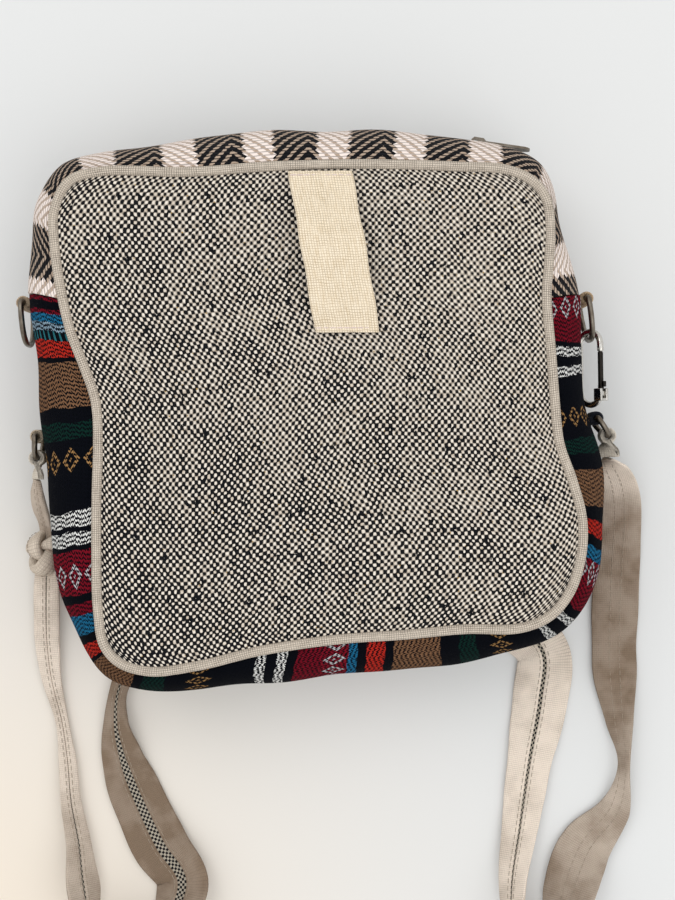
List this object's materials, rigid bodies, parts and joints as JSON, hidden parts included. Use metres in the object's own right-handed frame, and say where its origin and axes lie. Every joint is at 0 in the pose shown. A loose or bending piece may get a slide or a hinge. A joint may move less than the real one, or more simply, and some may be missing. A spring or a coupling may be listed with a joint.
{
  "type": "woven crossbody bag",
  "caption": "Small square zip-top crossbody bag of woven cloth with piping, a belt loop, D-rings, a spring clip and a knotted strap.",
  "frame": {"origin": "on the floor under the middle of the lying bag, at the flat middle of the front panel", "axes": "+Z from the front panel up to the back panel, +Y towards the zip at the bag's top, +X to the right when looking at the back panel"},
  "size_m": [0.2682, 0.3522, 0.0707],
  "materials": {
    "basket_cloth": "black and ivory basket weave, matt, about 2 mm to the repeat",
    "striped_cloth": "warp-faced striped cloth in navy, maroon, orange-red, blue, green and tan, matt",
    "chevron_cloth": "black and ivory chevron twill blocks, matt",
    "linen_piping": "plain-woven natural linen over a cord, matt",
    "hemp_strip": "plain-woven undyed hemp strip, matt",
    "nickel_wire": "dull nickel-plated wire with rubbed brownish film",
    "bright_nickel": "bright nickel plate, lightly scuffed",
    "zip_tape": "black woven tape with black plastic teeth"
  },
  "bodies": {
    "bag": {"back_panel": "basket_cloth", "front_panel": "basket_cloth", "top_gusset": "chevron_cloth", "side_gusset": "striped_cloth", "back_piping": "linen_piping", "front_piping": "linen_piping", "belt_loop": "hemp_strip", "zip_tape_back": "zip_tape", "zip_tape_front": "zip_tape", "zip_stop_left": "nickel_wire", "zip_stop_right": "nickel_wire", "upper_left_tab": "hemp_strip", "lower_left_tab": "hemp_strip", "upper_right_tab": "hemp_strip", "lower_right_tab": "hemp_strip", "strap_to_knot": "hemp_strip", "strap_knot": "hemp_strip", "strap_long": "hemp_strip"},
    "slider": {"zip_slider": "nickel_wire"},
    "pull": {"zip_pull": "nickel_wire"},
    "ring_upper_left": {"upper_left_ring": "nickel_wire"},
    "ring_lower_left": {"lower_left_ring": "nickel_wire", "strap_end_left": "hemp_strip"},
    "ring_upper_right": {"upper_right_ring": "nickel_wire"},
    "ring_lower_right": {"lower_right_ring": "nickel_wire", "strap_end_right": "hemp_strip"},
    "clip": {"clip_frame": "bright_nickel", "clip_pin": "bright_nickel"},
    "gate": {"clip_gate": "bright_nickel"}
  },
  "joints": [
    {"name": "zip_slide", "type": "hinge", "parent": "bag", "child": "slider", "pos_m": [0.004, -0.293, 0.024], "axis": [0, 0, 1], "range_deg": [0, 18]},
    {"name": "pull_swing", "type": "hinge", "parent": "slider", "child": "pull", "pos_m": [0.06813, 0.11449, 0.024], "axis": [0, 0, 1], "range_deg": [0, 170]},
    {"name": "upper_left_ring_swing", "type": "hinge", "parent": "bag", "child": "ring_upper_left", "pos_m": [-0.12273, 0.04589, 0.024], "axis": [0, 0, 1], "range_deg": [-150, 6]},
    {"name": "lower_left_ring_swing", "type": "hinge", "parent": "bag", "child": "ring_lower_left", "pos_m": [-0.11733, -0.00995, 0.024], "axis": [0, 0, 1], "range_deg": [-60, 3]},
    {"name": "upper_right_ring_swing", "type": "hinge", "parent": "bag", "child": "ring_upper_right", "pos_m": [0.1126, 0.04771, 0.024], "axis": [0, 0, 1], "range_deg": [0, 140]},
    {"name": "lower_right_ring_swing", "type": "hinge", "parent": "bag", "child": "ring_lower_right", "pos_m": [0.11713, -0.00226, 0.024], "axis": [0, 0, 1], "range_deg": [-10, 50]},
    {"name": "clip_swing", "type": "hinge", "parent": "ring_upper_right", "child": "clip", "pos_m": [0.11526, 0.03092, 0.024], "axis": [0, 0, 1], "range_deg": [0, 60]},
    {"name": "gate_open", "type": "hinge", "parent": "clip", "child": "gate", "pos_m": [0.11928, 0.00774, 0.02801], "axis": [-0.743, -0.013, 0.6691], "range_deg": [0, 22], "stiffness_Nm_per_rad": 0.02}
  ]
}
